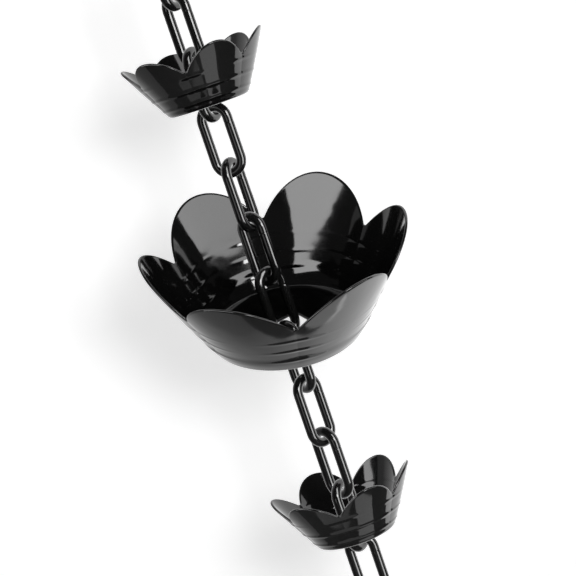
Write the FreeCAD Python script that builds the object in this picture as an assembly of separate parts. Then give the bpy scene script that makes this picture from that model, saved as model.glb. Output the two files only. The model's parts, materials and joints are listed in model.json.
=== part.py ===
import FreeCAD, Part
import math
import os

from FreeCAD import Vector

# Rain chain: oval wire links that carry three pressed flower cups.
# Millimetres, +Z up. The chain hangs down from the origin, where a hook bears
# inside the top link. The front of the chain, towards which the large cup leans, is -Y.

# Wire links
wire_diameter = 4.0
link_inner_length = 23.6
strand_spacing = 10.8
link_play = 0.4
seam_width = 0.3
seam_depth = 0.15
seam_height = 6.0

# Turn of each link about the chain, from the top one down, in degrees
link_turns = [52, -50, 54, -22, 56, -48, 28, -62, 37, -53, 51, -26]

# Sheet that all the cups are pressed from
petal_count = 6
sheet = 1.0
floor_corner = 1.2
ring_height = 0.2
ring_half_width = 0.8
seat_clearance = 0.25
slot_clearance = 0.5
slot_corner = 2.0

# Small cup
small_base_radius = 16.4
small_notch_radius = 24.6
small_notch_height = 15.2
small_tip_radius = 30.0
small_tip_height = 23.6
small_swell = 0.8
small_rings = [0.20, 0.53, 0.90]
small_slot_width = 9.0

# Large cup
large_base_radius = 31.5
large_notch_radius = 45.7
large_notch_height = 26.0
large_tip_radius = 54.0
large_tip_height = 42.2
large_swell = 0.8
large_rings = [0.25, 0.50, 0.75]
large_slot_width = 11.6

# Where the cups sit: how many links down from the top each one's carrying link is,
# the turn of a petal from the front, and how far the cup leans to the front and right
upper_cup_link_count = 4
upper_cup_turn = 15.0
large_cup_link_count = 8
large_cup_turn = 28.0
large_cup_lean_front = 24.0
large_cup_lean_right = 7.0
lower_cup_link_count = 12
lower_cup_turn = 16.0

wire_radius = wire_diameter / 2
bend_radius = strand_spacing / 2
link_half_width = bend_radius + wire_radius
arc_offset = link_inner_length / 2 + wire_radius - bend_radius
pitch = link_inner_length - link_play

ORIGIN = Vector(0, 0, 0)
X_AXIS = Vector(1, 0, 0)
Y_AXIS = Vector(0, 1, 0)
Z_AXIS = Vector(0, 0, 1)


def link_centre(number):
    """Centre of a link, numbered from 1 at the top."""
    return Vector(0, 0, -link_inner_length / 2 - (number - 1) * pitch)


def wire_disc(x, z):
    """Round section of the wire at one end of a strand."""
    circle = Part.makeCircle(wire_radius, Vector(x, 0, z), Z_AXIS)
    return Part.Face(Part.Wire(circle))


def wire_link():
    """One link lying in the XZ plane: two straight strands, two round ends and a butt seam."""
    strands = []
    for side in (-1, 1):
        strand = wire_disc(side * bend_radius, -arc_offset).extrude(Vector(0, 0, 2 * arc_offset))
        strands.append(strand)
    top_bend = wire_disc(bend_radius, arc_offset).revolve(Vector(0, 0, arc_offset), Y_AXIS, -180)
    low_bend = wire_disc(bend_radius, -arc_offset).revolve(Vector(0, 0, -arc_offset), Y_AXIS, 180)
    link = strands[0].multiFuse([strands[1], top_bend, low_bend]).removeSplitter()
    seam_base = Vector(bend_radius, 0, seam_height)
    seam_ring = Part.makeCylinder(wire_diameter, seam_width, seam_base)
    seam_core = Part.makeCylinder(wire_radius - seam_depth, seam_width, seam_base)
    return link.cut(seam_ring.cut(seam_core))


def petal_section(z, valley_radius, lobe_radius):
    """Closed wall section at one height: an arc for each petal, meeting in creases."""
    step = 2 * math.pi / petal_count
    edges = []
    for petal in range(petal_count):
        middle = petal * step
        points = []
        for angle, radius in ((middle - step / 2, valley_radius),
                              (middle, lobe_radius),
                              (middle + step / 2, valley_radius)):
            points.append(Vector(radius * math.cos(angle), radius * math.sin(angle), z))
        edges.append(Part.Arc(*points).toShape())
    return Part.Wire(edges)


def flower_cup(base_radius, notch_radius, notch_height, tip_radius, tip_height, swell, rings,
               slot_width, slot_length, slot_turn):
    """One pressed cup, its floor's underside at z = 0 and its first petal towards +X."""
    # Along a crease the wall is straight, and along a petal's middle it is a parabola
    flare = (notch_radius - base_radius) / notch_height
    lobe_at_notch = notch_radius + swell - base_radius
    lobe_at_tip = tip_radius - base_radius
    bow = lobe_at_tip / tip_height - lobe_at_notch / notch_height
    bow = bow / (tip_height - notch_height)
    rise = lobe_at_tip / tip_height - bow * tip_height
    wall_run = sheet * math.hypot(1, flare)
    brim = tip_height + sheet

    def wall_section(z, inset):
        valley = base_radius + flare * z - inset
        lobe = base_radius + rise * z + bow * z * z - inset
        return petal_section(z, valley, lobe)

    def pressed_solid(inset, start, top):
        sections = []
        corner_foot = base_radius - floor_corner
        corner_mid = floor_corner * (1 - math.sqrt(0.5))
        sections.append(petal_section(start, corner_foot, corner_foot))
        if inset == 0:
            sections.append(petal_section(corner_mid, base_radius - corner_mid, base_radius - corner_mid))
        sections.append(wall_section(floor_corner, inset))
        for share in rings:
            ring_z = share * notch_height
            sections.append(wall_section(ring_z - ring_half_width, inset))
            sections.append(wall_section(ring_z, inset - ring_height))
            sections.append(wall_section(ring_z + ring_half_width, inset))
        for share in (0.3, 0.65, 1.0):
            sections.append(wall_section(notch_height + share * (top - notch_height), inset))
        return Part.makeLoft(sections, True, True)

    shell = pressed_solid(0, 0, brim).cut(pressed_solid(wall_run, sheet, brim + sheet))

    # Below the notches the whole wall stays, and above them only the round petals
    petal_half = (notch_radius - wall_run) * math.sin(math.pi / petal_count)
    kept = []
    for petal in range(petal_count):
        foot = notch_height - sheet
        left_foot = Vector(0, -petal_half, foot)
        left_notch = Vector(0, -petal_half, notch_height)
        right_notch = Vector(0, petal_half, notch_height)
        right_foot = Vector(0, petal_half, foot)
        outline = Part.Wire([
            Part.makeLine(left_foot, left_notch),
            Part.Arc(left_notch, Vector(0, 0, tip_height), right_notch).toShape(),
            Part.makeLine(right_notch, right_foot),
            Part.makeLine(right_foot, left_foot)])
        blade = Part.Face(outline).extrude(Vector(2 * tip_radius, 0, 0))
        blade.rotate(ORIGIN, Z_AXIS, petal * 360 / petal_count)
        kept.append(blade)
    drum = Part.makeCylinder(2 * tip_radius, notch_height + sheet, Vector(0, 0, -sheet))
    cup = shell.common(drum.multiFuse(kept))

    slot_foot = Vector(-slot_length / 2, -slot_width / 2, -sheet)
    slot = Part.makeBox(slot_length, slot_width, 3 * sheet, slot_foot)
    corners = [edge for edge in slot.Edges if abs(edge.tangentAt(edge.FirstParameter).z) > 0.5]
    slot = slot.makeFillet(slot_corner, corners)
    slot.rotate(ORIGIN, Z_AXIS, slot_turn)
    return cup.cut(slot)


def placed_cup(sizes, slot_width, link_number, turn, lean_front, lean_right):
    """A cup seated on the shoulders of the link that carries it, with its slot over the link above."""
    through_turn = link_turns[link_number - 2]
    petal_turn = turn - 90
    seat = math.sqrt(link_half_width ** 2 - (slot_width / 2) ** 2) + seat_clearance
    lean_slip = (seat + sheet) * math.tan(math.radians(lean_right))
    slot_length = 2 * (link_half_width + slot_clearance + lean_slip)
    cup = flower_cup(*sizes, slot_width, slot_length, through_turn - petal_turn)
    cup.rotate(ORIGIN, Z_AXIS, petal_turn)
    cup.translate(Vector(0, 0, seat))
    cup.rotate(ORIGIN, X_AXIS, lean_front)
    cup.rotate(ORIGIN, Y_AXIS, lean_right)
    cup.translate(link_centre(link_number) + Vector(0, 0, arc_offset))
    return cup


os.makedirs("parts", exist_ok=True)

for number, turn in enumerate(link_turns, start=1):
    link = wire_link()
    link.rotate(ORIGIN, Z_AXIS, turn)
    link.translate(link_centre(number))
    link.exportStep("parts/link_%02d.step" % number)

small_sizes = (small_base_radius, small_notch_radius, small_notch_height,
               small_tip_radius, small_tip_height, small_swell, small_rings)
large_sizes = (large_base_radius, large_notch_radius, large_notch_height,
               large_tip_radius, large_tip_height, large_swell, large_rings)

upper = placed_cup(small_sizes, small_slot_width, upper_cup_link_count, upper_cup_turn, 0, 0)
upper.exportStep("parts/small_cup_upper.step")
large = placed_cup(large_sizes, large_slot_width, large_cup_link_count, large_cup_turn,
                   large_cup_lean_front, large_cup_lean_right)
large.exportStep("parts/large_cup.step")
lower = placed_cup(small_sizes, small_slot_width, lower_cup_link_count, lower_cup_turn, 0, 0)
lower.exportStep("parts/small_cup_lower.step")
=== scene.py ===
import json
import math
import bpy
import numpy as np
from mathutils import Matrix, Vector

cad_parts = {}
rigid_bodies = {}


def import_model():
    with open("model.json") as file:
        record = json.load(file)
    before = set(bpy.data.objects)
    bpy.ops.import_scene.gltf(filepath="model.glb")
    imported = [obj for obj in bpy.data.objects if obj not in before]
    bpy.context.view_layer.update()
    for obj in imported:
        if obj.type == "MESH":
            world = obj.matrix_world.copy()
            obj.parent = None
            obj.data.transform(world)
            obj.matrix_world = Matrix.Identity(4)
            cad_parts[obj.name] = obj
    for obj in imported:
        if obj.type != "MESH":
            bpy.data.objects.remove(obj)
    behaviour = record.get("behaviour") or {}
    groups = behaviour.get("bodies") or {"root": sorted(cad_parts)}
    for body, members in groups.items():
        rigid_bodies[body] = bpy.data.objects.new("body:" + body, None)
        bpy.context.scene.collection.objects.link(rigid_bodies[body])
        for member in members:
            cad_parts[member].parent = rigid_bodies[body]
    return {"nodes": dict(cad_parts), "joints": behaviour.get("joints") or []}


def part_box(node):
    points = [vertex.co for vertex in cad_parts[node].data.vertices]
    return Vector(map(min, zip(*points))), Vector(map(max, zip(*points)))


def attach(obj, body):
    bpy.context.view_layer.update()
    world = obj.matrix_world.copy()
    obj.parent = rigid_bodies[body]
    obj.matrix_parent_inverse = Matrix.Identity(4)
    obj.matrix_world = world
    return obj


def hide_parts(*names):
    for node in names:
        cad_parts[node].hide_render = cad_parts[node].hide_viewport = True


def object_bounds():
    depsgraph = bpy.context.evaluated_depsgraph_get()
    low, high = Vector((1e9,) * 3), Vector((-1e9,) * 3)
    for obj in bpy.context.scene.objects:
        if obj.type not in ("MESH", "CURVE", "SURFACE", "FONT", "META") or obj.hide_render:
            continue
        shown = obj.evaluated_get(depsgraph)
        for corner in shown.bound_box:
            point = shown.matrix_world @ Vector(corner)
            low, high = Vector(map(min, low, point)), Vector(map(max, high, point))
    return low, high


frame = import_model()
cad_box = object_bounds()

# Links
# Twelve oval links bent from round steel wire, hooked into one another and
# closed by a butt joint on one strand, then dipped in glossy black paint.

wire_radius = 0.0020
bend_radius = 0.0054
seam_height = 0.0061
seam_depth = 0.00006
seam_spread = 0.00018
last_link_turn = math.radians(-26)


def grid_mesh(name, points):
    """A surface closed both ways round: point (row, column) joins the next row and the next
    column, and the last ones join the first. Faces are turned so that the volume is positive."""
    rows, columns = points.shape[:2]
    index = np.arange(rows * columns).reshape(rows, columns)
    right = np.roll(index, -1, axis=1)
    below = np.roll(index, -1, axis=0)
    corner = np.roll(below, -1, axis=1)
    quads = np.stack([index, right, corner, below], axis=-1).reshape(-1, 4)
    flat = points.reshape(-1, 3)
    a, b, c, d = (flat[quads[:, side]] for side in range(4))
    volume = np.einsum("ij,ij->", a, np.cross(b, c)) + np.einsum("ij,ij->", a, np.cross(c, d))
    if volume < 0:
        quads = quads[:, ::-1]
    mesh = bpy.data.meshes.new(name)
    mesh.vertices.add(len(flat))
    mesh.vertices.foreach_set("co", flat.astype(np.float32).ravel())
    mesh.loops.add(quads.size)
    mesh.loops.foreach_set("vertex_index", quads.astype(np.int32).ravel())
    mesh.polygons.add(len(quads))
    mesh.polygons.foreach_set("loop_start", np.arange(0, quads.size, 4, dtype=np.int32))
    mesh.update(calc_edges=True)
    mesh.polygons.foreach_set("use_smooth", np.ones(len(quads), dtype=bool))
    mesh.validate()
    piece = bpy.data.objects.new(name, mesh)
    bpy.context.scene.collection.objects.link(piece)
    return piece


def link_surface(half_length, bend_steps=22, strand_steps=8, round_steps=24):
    """Wire of constant radius carried along a closed oval: half a circle over the top, a strand
    down the left, half a circle below and a strand up the right, which dips at the butt seam.
    The dip is a bell curve along the strand, and more rows of points stand close to it."""
    arc_height = half_length - bend_radius - wire_radius
    turn = np.linspace(0, math.pi, bend_steps, endpoint=False)
    down = np.linspace(arc_height, -arc_height, strand_steps, endpoint=False)
    seam_rows = seam_height + seam_spread * np.array([-4, -2, -1.2, -0.7, -0.3, 0, 0.3, 0.7, 1.2, 2, 4])
    up = np.sort(np.concatenate([-down, seam_rows]))
    side = np.concatenate([np.cos(turn), -np.ones_like(down), -np.cos(turn), np.ones_like(up)])
    rise = np.concatenate([np.sin(turn), np.zeros_like(down), -np.sin(turn), np.zeros_like(up)])
    centre = np.concatenate([np.full_like(turn, arc_height), down, np.full_like(turn, -arc_height), up])
    on_seam_strand = np.concatenate([np.zeros(2 * len(turn) + len(down)), np.ones_like(up)])
    dip = on_seam_strand * np.exp(-((centre - seam_height) / seam_spread) ** 2)
    radius = (wire_radius - seam_depth * dip)[:, None]
    around = np.linspace(0, 2 * math.pi, round_steps, endpoint=False)[None, :]
    reach = bend_radius + radius * np.cos(around)
    across = side[:, None] * reach
    along = centre[:, None] + rise[:, None] * reach
    through = radius * np.sin(around)
    return np.stack([across, through, along], axis=-1)


class Paint:
    """A shader socket that is used like a number: sums and products of it add Math nodes."""

    def __init__(self, tree, socket):
        self.tree = tree
        self.socket = socket

    def node(self, kind, settings, inputs, output=0):
        """Adds one node, sets its settings, then fills or links its sockets."""
        made = self.tree.nodes.new(kind)
        for name, value in settings.items():
            setattr(made, name, value)
        for name, value in inputs.items():
            if isinstance(value, Paint):
                self.tree.links.new(value.socket, made.inputs[name])
            else:
                made.inputs[name].default_value = value
        return Paint(self.tree, made.outputs[output])

    def math(self, operation, first, second):
        """Adds one Math node for an operator."""
        return self.node("ShaderNodeMath", {"operation": operation}, {0: first, 1: second})

    def __add__(self, other):
        return self.math("ADD", self, other)

    def __radd__(self, other):
        return self.math("ADD", other, self)

    def __mul__(self, other):
        return self.math("MULTIPLY", self, other)

    def __rmul__(self, other):
        return self.math("MULTIPLY", other, self)


def shader_tree(name):
    """A new material with only its output node, and the Paint that starts its expressions."""
    material = bpy.data.materials.new(name)
    material.use_nodes = True
    tree = material.node_tree
    tree.nodes.clear()
    output = tree.nodes.new("ShaderNodeOutputMaterial")
    return material, Paint(tree, None), output


# The black of the paint, what clouds and dust add to it, and how much they dull it
paint_black = 0.002
cloud_tone = 0.002
dust_tone = 0.012
cloud_dulling = 0.04
dust_dulling = 0.12
paint_ior = 1.52
clouds_per_metre = 60.0
specks_per_metre = 2600.0
dust_starts, dust_full = 0.66, 0.80


def gloss_black(name, roughness, peel_size, peel_depth, wave_size, wave_depth):
    """Dipped gloss paint: near-black, with faint orange peel over the slow waves of the metal, slow
    changes of gloss and fine specks of dust."""
    material, paint, output = shader_tree(name)
    place = paint.node("ShaderNodeTexCoord", {}, {}, "Object")

    def noise(per_metre, detail):
        return paint.node("ShaderNodeTexNoise", {}, {"Vector": place, "Scale": per_metre, "Detail": detail})

    peel = noise(1 / peel_size, detail=2.0)
    cloud = noise(clouds_per_metre, detail=3.0)
    speck = noise(specks_per_metre, detail=1.0)
    dust = paint.node("ShaderNodeMapRange", {"clamp": True},
                      {"Value": speck, "From Min": dust_starts, "From Max": dust_full,
                       "To Min": 0.0, "To Max": 1.0})
    tone = paint_black + cloud_tone * cloud + dust_tone * dust
    colour = paint.node("ShaderNodeCombineColor", {}, {"Red": tone, "Green": tone, "Blue": tone})
    dullness = roughness - cloud_dulling / 2 + cloud_dulling * cloud + dust_dulling * dust
    wave = noise(1 / wave_size, detail=1.0)
    waved = paint.node("ShaderNodeBump", {}, {"Height": wave, "Distance": wave_depth})
    normal = paint.node("ShaderNodeBump", {}, {"Height": peel, "Distance": peel_depth, "Normal": waved})
    surface = paint.node("ShaderNodeBsdfPrincipled", {},
                         {"Base Color": colour, "Roughness": dullness, "Normal": normal, "IOR": paint_ior})
    paint.tree.links.new(surface.socket, output.inputs["Surface"])
    return material


wire_paint = gloss_black("wire_paint", roughness=0.11, peel_size=0.0020, peel_depth=0.000006,
                         wave_size=0.0060, wave_depth=0.00003)

# A link swings about the lower bend of the one above, so each joint lies along its parent's width
width_directions = {joint["parent"]: joint["axis"] for joint in frame["joints"]}
links = []
for node in sorted(name for name in frame["nodes"] if name.startswith("link_")):
    low, high = (np.array(corner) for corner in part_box(node))
    width = width_directions.get(node, [math.cos(last_link_turn), math.sin(last_link_turn), 0])
    axes = np.array([width, [-width[1], width[0], 0], [0, 0, 1]])
    surface = link_surface(half_length=(high[2] - low[2]) / 2)
    link = grid_mesh("wire_" + node, surface @ axes + (low + high) / 2)
    link.data.materials.append(wire_paint)
    # Links aren't mirrored in other pieces, which keeps the reflections in the petals clear
    link.visible_glossy = False
    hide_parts(node)
    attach(link, node)
    links.append(link)

# Small cups
# Two flower cups pressed from one millimetre sheet: a flat floor slotted for the chain, a
# flaring wall with three pressed rings and six round petals. Each rests on the next link.

petal_count = 6
sheet = 0.001
floor_corner = 0.0012
notch_round = 0.6 * sheet
petal_foot_drop = 1.5 * sheet
seat_clearance = 0.00025
slot_clearance = 0.0005
slot_corner = 0.002
link_half_width = bend_radius + wire_radius

# Radii and heights of the base, notches and petal tips. Each ring has its share of the notch
# height, half its width, and how far it stands out at a crease and at a petal's middle
small_cup = {"base": 0.0164, "notch": 0.0246, "notch_height": 0.0152,
             "tip": 0.0300, "tip_height": 0.0236, "swell": 0.0008, "slot": 0.0090,
             "rings": ((0.20, 0.0010, 0.0003, 0.0002),
                       (0.53, 0.0010, 0.0003, 0.0002),
                       (0.90, 0.0010, 0.0003, 0.0))}


def slot_edge(turn, length, width, corner):
    """Distance from the slot's middle to its edge in each direction: the far side of a rectangle
    with its corners rounded off."""
    across = np.abs(np.cos(turn))
    along = np.abs(np.sin(turn))
    tiny = 1e-9
    flat = np.minimum(length / 2 / np.maximum(across, tiny), width / 2 / np.maximum(along, tiny))
    middle = np.array([length / 2 - corner, width / 2 - corner])
    reach = across * middle[0] + along * middle[1]
    spread = reach ** 2 - (middle ** 2).sum() + corner ** 2
    rounded = reach + np.sqrt(np.maximum(spread, 0))
    x, y = flat * across, flat * along
    in_corner = (x > middle[0]) & (y > middle[1])
    return np.where(in_corner, np.minimum(rounded, flat), flat)


def flower_surface(cup, slot_length, slot_turn, columns=56, floor_rows=8, corner_rows=6,
                   wall_step=0.00032, petal_rows=30, edge_rows=6, edge_rounds=12):
    """A pressed cup as one closed skin. Every column runs from the slot out under the floor, up the
    outside of the wall to the petal's edge, over that edge in half a circle and back inside. At one
    height the wall is six arcs through the crease and the petal's middle; going up, the crease is
    straight and the middle a parabola. A ring adds one wave of a cosine, whose height changes with
    the square of the share of the way from the petal's middle to the crease. The inside is the
    outside moved in by the sheet."""
    step = 2 * math.pi / petal_count
    share = np.sin(np.linspace(-0.5, 0.5, columns, endpoint=False) * math.pi)
    bend = np.tile(share * step / 2, petal_count)
    crease_share = np.tile(share ** 2, petal_count)
    around = bend + np.repeat(np.arange(petal_count) * step, columns)

    flare = (cup["notch"] - cup["base"]) / cup["notch_height"]
    slope_notch = (cup["notch"] + cup["swell"] - cup["base"]) / cup["notch_height"]
    slope_tip = (cup["tip"] - cup["base"]) / cup["tip_height"]
    bow = (slope_tip - slope_notch) / (cup["tip_height"] - cup["notch_height"])
    rise = slope_tip - bow * cup["tip_height"]

    def wall_radius(height):
        crease = cup["base"] + flare * height
        middle = cup["base"] + rise * height + bow * height ** 2
        centre = (middle ** 2 - crease ** 2) / (2 * (middle - crease * math.cos(step / 2)))
        radius = middle - centre
        wall = centre * np.cos(bend) + np.sqrt(radius ** 2 - (centre * np.sin(bend)) ** 2)
        for share_up, half_width, at_crease, at_middle in cup["rings"]:
            gap = (height - share_up * cup["notch_height"]) / half_width
            bump = np.where(np.abs(gap) < 1, 0.5 + 0.5 * np.cos(math.pi * gap), 0)
            wall = wall + bump * (at_middle + (at_crease - at_middle) * crease_share)
        return wall

    # The petal's edge is an arc through the tip and its two notches, seen along the petal. Its height
    # and the wall's radius depend on each other, so both are worked out in a few rounds
    chord = (cup["notch"] - sheet * math.hypot(1, flare)) * math.sin(step / 2)
    sagitta = cup["tip_height"] - cup["notch_height"]
    arc_radius = (chord ** 2 + sagitta ** 2) / (2 * sagitta)
    arc_centre = cup["tip_height"] - arc_radius
    edge_height = np.full_like(bend, cup["notch_height"])
    for _ in range(edge_rounds):
        aside = np.minimum(np.abs(wall_radius(edge_height) * np.sin(bend)), chord)
        edge_height = arc_centre + np.sqrt(arc_radius ** 2 - aside ** 2)
    edge_height = cup["notch_height"] + np.hypot(edge_height - cup["notch_height"], notch_round)
    edge_height = edge_height - sheet / 2

    # Rows stand close together at the slot's edge, which keeps it crisp
    floor_edge = cup["base"] - floor_corner
    slot_reach = slot_edge(around - slot_turn, slot_length, cup["slot"], slot_corner)
    near_slot = [0, 0.015, 0.05]
    past_slot = np.linspace(0.15, 1, floor_rows)
    floor_share = np.concatenate([near_slot, past_slot])[:, None]
    floor_radius = slot_reach + (floor_edge - slot_reach) * floor_share
    floor_height = np.zeros_like(floor_radius)

    # From floor to wall runs a curve with the base's outer corner as its control point
    corner_share = np.linspace(0, 1, corner_rows + 2)[1:-1, None]
    corner_top = wall_radius(np.full_like(bend, floor_corner))
    corner_radius = ((1 - corner_share) ** 2 * floor_edge
                     + 2 * corner_share * (1 - corner_share) * cup["base"]
                     + corner_share ** 2 * corner_top)
    corner_height = floor_corner * corner_share ** 2 * np.ones_like(bend)

    # Rows are level up to just below the notches, and from there they follow the petal's edge
    petal_foot = cup["notch_height"] - petal_foot_drop
    wall_rows = round((petal_foot - floor_corner) / wall_step)
    wall_height = np.linspace(floor_corner, petal_foot, wall_rows)[:-1, None] * np.ones_like(bend)
    petal_share = np.linspace(0, 1, petal_rows)[:, None]
    petal_height = petal_foot + (edge_height - petal_foot) * petal_share
    height = np.vstack([wall_height, petal_height])
    radius = np.vstack([floor_radius, corner_radius, wall_radius(height)])
    height = np.vstack([floor_height, corner_height, height])
    outside = np.stack([radius * np.cos(around), radius * np.sin(around), height], axis=-1)

    def unit(vectors):
        return vectors / np.linalg.norm(vectors, axis=-1, keepdims=True)

    upward = np.gradient(outside, axis=0)
    sideways = np.roll(outside, -1, axis=1) - np.roll(outside, 1, axis=1)
    normal = unit(np.cross(sideways, upward))
    inside = outside - sheet * normal
    brow = (outside[-1] + inside[-1]) / 2
    over = unit(np.cross(normal[-1], unit(np.roll(brow, -1, axis=0) - np.roll(brow, 1, axis=0))))
    swing = np.linspace(0, math.pi, edge_rows + 2)[1:-1, None, None]
    edge = brow + sheet / 2 * (np.cos(swing) * normal[-1] + np.sin(swing) * over)
    return np.concatenate([outside, edge, inside[::-1]])


cup_paint = gloss_black("cup_paint", roughness=0.07, peel_size=0.0040, peel_depth=0.000004,
                        wave_size=0.0110, wave_depth=0.00010)


def seated_cup(name, node, carrier, through, cup, petal_turn, lean_front=0.0, lean_right=0.0):
    """The cup's skin, turned, leant and set down on the shoulders of the link that carries it,
    with its slot along the width of the link above."""
    seat = math.sqrt(link_half_width ** 2 - (cup["slot"] / 2) ** 2) + seat_clearance
    slip = (seat + sheet) * math.tan(lean_right)
    first_petal = petal_turn - math.pi / 2
    width = width_directions[through]
    slot_turn = math.atan2(width[1], width[0]) - first_petal
    surface = flower_surface(cup, 2 * (link_half_width + slot_clearance + slip), slot_turn)
    link_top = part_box(carrier)[1].z
    bend_centre = Vector((0, 0, link_top - link_half_width))
    place = (Matrix.Translation(bend_centre) @ Matrix.Rotation(lean_right, 4, "Y")
             @ Matrix.Rotation(lean_front, 4, "X") @ Matrix.Translation((0, 0, seat))
             @ Matrix.Rotation(first_petal, 4, "Z"))
    turn = np.array(place.to_3x3())
    piece = grid_mesh(name, surface @ turn.T + np.array(place.translation))
    piece.data.materials.append(cup_paint)
    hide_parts(node)
    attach(piece, carrier)
    return piece


upper_cup = seated_cup("upper_flower_cup", "small_cup_upper", "link_04", "link_03",
                       small_cup, petal_turn=math.radians(15))
lower_cup = seated_cup("lower_flower_cup", "small_cup_lower", "link_12", "link_11",
                       small_cup, petal_turn=math.radians(16))
# Below the large cup, this one would be mirrored as a dark block in its front petals
lower_cup.visible_glossy = False

# Large cup
# The same pressing at nearly twice the size, with one more wide soft ring near its foot. It leans
# to the front and a little to the right until its slot stops against the link that runs through it.

large_cup = {"base": 0.0315, "notch": 0.0457, "notch_height": 0.0260,
             "tip": 0.0540, "tip_height": 0.0422, "swell": 0.0008, "slot": 0.0116,
             "rings": ((0.18, 0.0047, 0.0003, 0.0003),
                       (0.25, 0.0012, 0.0003, 0.0),
                       (0.50, 0.0012, 0.0003, 0.0),
                       (0.75, 0.0012, 0.0002, 0.0))}
middle_cup = seated_cup("large_flower_cup", "large_cup", "link_08", "link_07",
                        large_cup, petal_turn=math.radians(28),
                        lean_front=math.radians(24), lean_right=math.radians(7))

# Floor and backdrop
# A pale card stands behind the chain, out of its swing, and takes its soft shadow, and a pale floor
# lies below. Both are clear from behind, so that the chain can be seen from the back. A nearer card
# is there for the paint to mirror, and nothing else sees it.

backdrop_distance = 0.36
mirrored_distance = 0.058
card_reach = 3.0
sweep_reach = 0.12
floor_drop = 0.13
floor_level = cad_box[0][2] - floor_drop


def flat_card(name, corners):
    """One card through four corners, whose front follows their order."""
    mesh = bpy.data.meshes.new(name)
    mesh.from_pydata(corners, [], [(0, 1, 2, 3)])
    card = bpy.data.objects.new(name, mesh)
    bpy.context.scene.collection.objects.link(card)
    return card


def upright_card(name, distance):
    """A card that stands behind the chain and faces the front."""
    return flat_card(name, [(-card_reach, distance, -card_reach), (card_reach, distance, -card_reach),
                            (card_reach, distance, card_reach), (-card_reach, distance, card_reach)])


def show_front(paint, front, output):
    """Gives a card's front its shader, and leaves its back clear."""
    back = paint.node("ShaderNodeNewGeometry", {}, {}, "Backfacing")
    clear = paint.node("ShaderNodeBsdfTransparent", {}, {})
    both = paint.node("ShaderNodeMixShader", {}, {"Fac": back, 1: front, 2: clear})
    paint.tree.links.new(both.socket, output.inputs["Surface"])


def pale_card(name, lit_share, own_white, mirrored_white):
    """White card: a share of the light that falls on it, and its own white as the camera and
    mirrors see it, so that it reads white and still keeps a soft shadow."""
    material, paint, output = shader_tree(name)
    camera_ray = paint.node("ShaderNodeLightPath", {}, {}, "Is Camera Ray")
    glossy_ray = paint.node("ShaderNodeLightPath", {}, {}, "Is Glossy Ray")
    lit = paint.node("ShaderNodeBsdfDiffuse", {}, {"Color": (lit_share, lit_share, lit_share, 1)})
    shown_white = own_white * camera_ray + mirrored_white * glossy_ray
    glow = paint.node("ShaderNodeEmission", {}, {"Strength": shown_white})
    show_front(paint, paint.node("ShaderNodeAddShader", {}, {0: lit, 1: glow}), output)
    return material


def sweep_white(name, left_white, right_white):
    """White that gives off light from its front alone and grows evenly from left to right, over the
    width of the sweep."""
    material, paint, output = shader_tree(name)
    place = paint.node("ShaderNodeTexCoord", {}, {}, "Object")
    sideways = paint.node("ShaderNodeSeparateXYZ", {}, {"Vector": place}, "X")
    white = paint.node("ShaderNodeMapRange", {"clamp": True},
                       {"Value": sideways, "From Min": -sweep_reach, "From Max": sweep_reach,
                        "To Min": left_white, "To Max": right_white})
    colour = paint.node("ShaderNodeCombineColor", {}, {"Red": white, "Green": white, "Blue": white})
    show_front(paint, paint.node("ShaderNodeEmission", {}, {"Color": colour}), output)
    return material


backdrop = upright_card("backdrop", backdrop_distance)
backdrop_white = pale_card("backdrop_white", lit_share=0.90, own_white=0.70, mirrored_white=0.70)
backdrop.data.materials.append(backdrop_white)
mirrored_card = upright_card("mirrored_card", mirrored_distance)
mirrored_card.data.materials.append(sweep_white("mirrored_white", left_white=0.38, right_white=1.78))
mirrored_card.visible_camera = False
mirrored_card.visible_diffuse = False
mirrored_card.visible_transmission = False
mirrored_card.visible_shadow = False
floor = flat_card("floor", [(-card_reach, -card_reach, floor_level),
                            (card_reach, -card_reach, floor_level),
                            (card_reach, backdrop_distance, floor_level),
                            (-card_reach, backdrop_distance, floor_level)])
floor_white = pale_card("floor_white", lit_share=0.30, own_white=0.96, mirrored_white=0.03)
floor.data.materials.append(floor_white)

# Studio light
# A softbox to the right of the camera lights the chain, and a small one close to the camera throws
# its soft shadow on the backdrop. A tall strip and a dim low panel are mirrored as lines on every
# wire, and the other panels and the cards only in the cups.

aim = Vector((0, 0, (cad_box[0][2] + cad_box[1][2]) / 2))


def softbox(name, bearing, elevation, distance, width, height, radiance, shines_on):
    """A soft rectangle of light, placed by its bearing to the right of the front and its elevation as
    seen from the middle of the chain, and facing it. Power is the radiance times pi times the area.
    It shines on the named pieces alone."""
    bearing, elevation = math.radians(bearing), math.radians(elevation)
    level = distance * math.cos(elevation)
    place = aim + Vector((level * math.sin(bearing), -level * math.cos(bearing),
                          distance * math.sin(elevation)))
    lamp = bpy.data.lights.new(name, "AREA")
    lamp.shape = "RECTANGLE"
    lamp.size = width
    lamp.size_y = height
    lamp.energy = radiance * math.pi * width * height
    source = bpy.data.objects.new(name, lamp)
    source.location = place
    source.rotation_euler = (aim - place).to_track_quat("-Z", "Y").to_euler()
    source.visible_camera = False
    bpy.context.scene.collection.objects.link(source)
    lit_pieces = bpy.data.collections.new(name)
    for piece in shines_on:
        lit_pieces.objects.link(piece)
    source.light_linking.receiver_collection = lit_pieces


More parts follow.
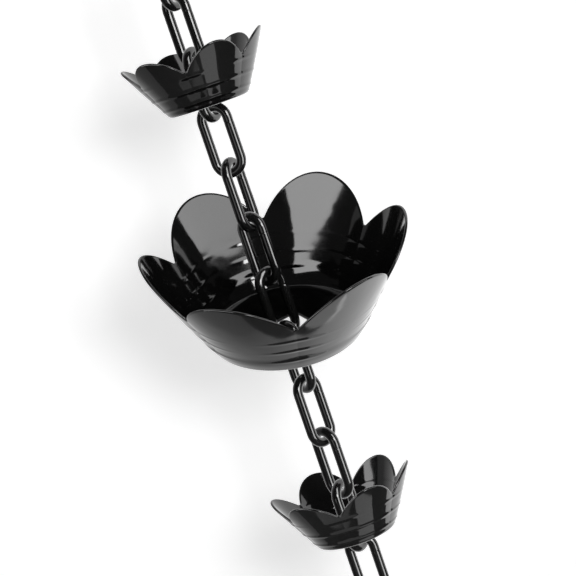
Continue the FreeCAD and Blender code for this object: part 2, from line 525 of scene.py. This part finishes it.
small_cups = [upper_cup, lower_cup]
cups = [upper_cup, middle_cup, lower_cup]
softbox("key", bearing=21, elevation=11.5, distance=1.2, width=0.30, height=0.30, radiance=19.5,
        shines_on=links + cups)
softbox("backdrop_key", bearing=2.3, elevation=8.8, distance=0.858, width=0.09, height=0.09, radiance=188,
        shines_on=[backdrop, floor])
softbox("right_strip", bearing=36, elevation=0, distance=0.42, width=0.205, height=1.0, radiance=10.0,
        shines_on=links)
softbox("low_left_panel", bearing=-36, elevation=-8, distance=1.0, width=0.45, height=0.40, radiance=1.2,
        shines_on=links)
softbox("right_panel", bearing=47, elevation=-8.75, distance=1.0, width=1.05, height=0.40, radiance=5.0,
        shines_on=cups)
softbox("left_panel", bearing=-58, elevation=5, distance=1.0, width=1.5, height=0.385, radiance=6.5,
        shines_on=cups)
softbox("upper_left_panel", bearing=-73, elevation=43, distance=1.0, width=0.50, height=0.40, radiance=5.0,
        shines_on=small_cups)
softbox("top_panel", bearing=0, elevation=68, distance=1.0, width=0.60, height=0.40, radiance=3.0,
        shines_on=small_cups)
softbox("upper_cup_card", bearing=24, elevation=-50, distance=0.28, width=0.15, height=0.15, radiance=1.3,
        shines_on=[upper_cup])
softbox("lower_cup_card", bearing=35, elevation=-76, distance=0.22, width=0.06, height=0.05, radiance=1.1,
        shines_on=[lower_cup])
softbox("low_front_card", bearing=-30, elevation=-58, distance=0.25, width=0.14, height=0.14, radiance=0.45,
        shines_on=small_cups)
softbox("low_back_card", bearing=99, elevation=-77, distance=0.267, width=0.09, height=0.12, radiance=1.0,
        shines_on=[middle_cup])

# The room is white to the camera, and only a dim grey to the pieces
room_white = 1.0
room_light = 0.06
world = bpy.data.worlds.new("studio")
bpy.context.scene.world = world
world.use_nodes = True
room = Paint(world.node_tree, None)
seen_by_camera = room.node("ShaderNodeLightPath", {}, {}, "Is Camera Ray")
room_strength = room_light + (room_white - room_light) * seen_by_camera
background = world.node_tree.nodes["Background"]
background.inputs["Color"].default_value = (1, 1, 1, 1)
world.node_tree.links.new(room_strength.socket, background.inputs["Strength"])

# Camera
# The photograph's view: a little above the chain and to its left, rolled so that the chain runs
# from upper left to lower right, with the middle of the frame just to the right of it.

focal_pixels = 2000.0
frame_pixels = 576.0
view_distance = 0.808
view_elevation = math.radians(7.56)
view_bearing = math.radians(-4.2)
view_roll = math.radians(18.9)
frame_middle = Vector((0.0060, 0, -0.1466))

level = math.cos(view_elevation)
toward = Vector((-level * math.sin(view_bearing), level * math.cos(view_bearing),
                 -math.sin(view_elevation)))
level_right = Vector((math.cos(view_bearing), math.sin(view_bearing), 0))
level_up = level_right.cross(toward)
frame_right = level_right * math.cos(view_roll) - level_up * math.sin(view_roll)
frame_up = level_right * math.sin(view_roll) + level_up * math.cos(view_roll)
lens = bpy.data.cameras.new("photo_view")
lens.sensor_width = 36.0
lens.lens = lens.sensor_width * focal_pixels / frame_pixels
lens.clip_start = 0.01
camera = bpy.data.objects.new("photo_view", lens)
camera_turn = Matrix((frame_right, frame_up, -toward)).transposed()
camera.matrix_world = Matrix.Translation(frame_middle - toward * view_distance) @ camera_turn.to_4x4()
bpy.context.scene.collection.objects.link(camera)
bpy.context.scene.camera = camera
bpy.context.scene.view_settings.view_transform = "Standard"
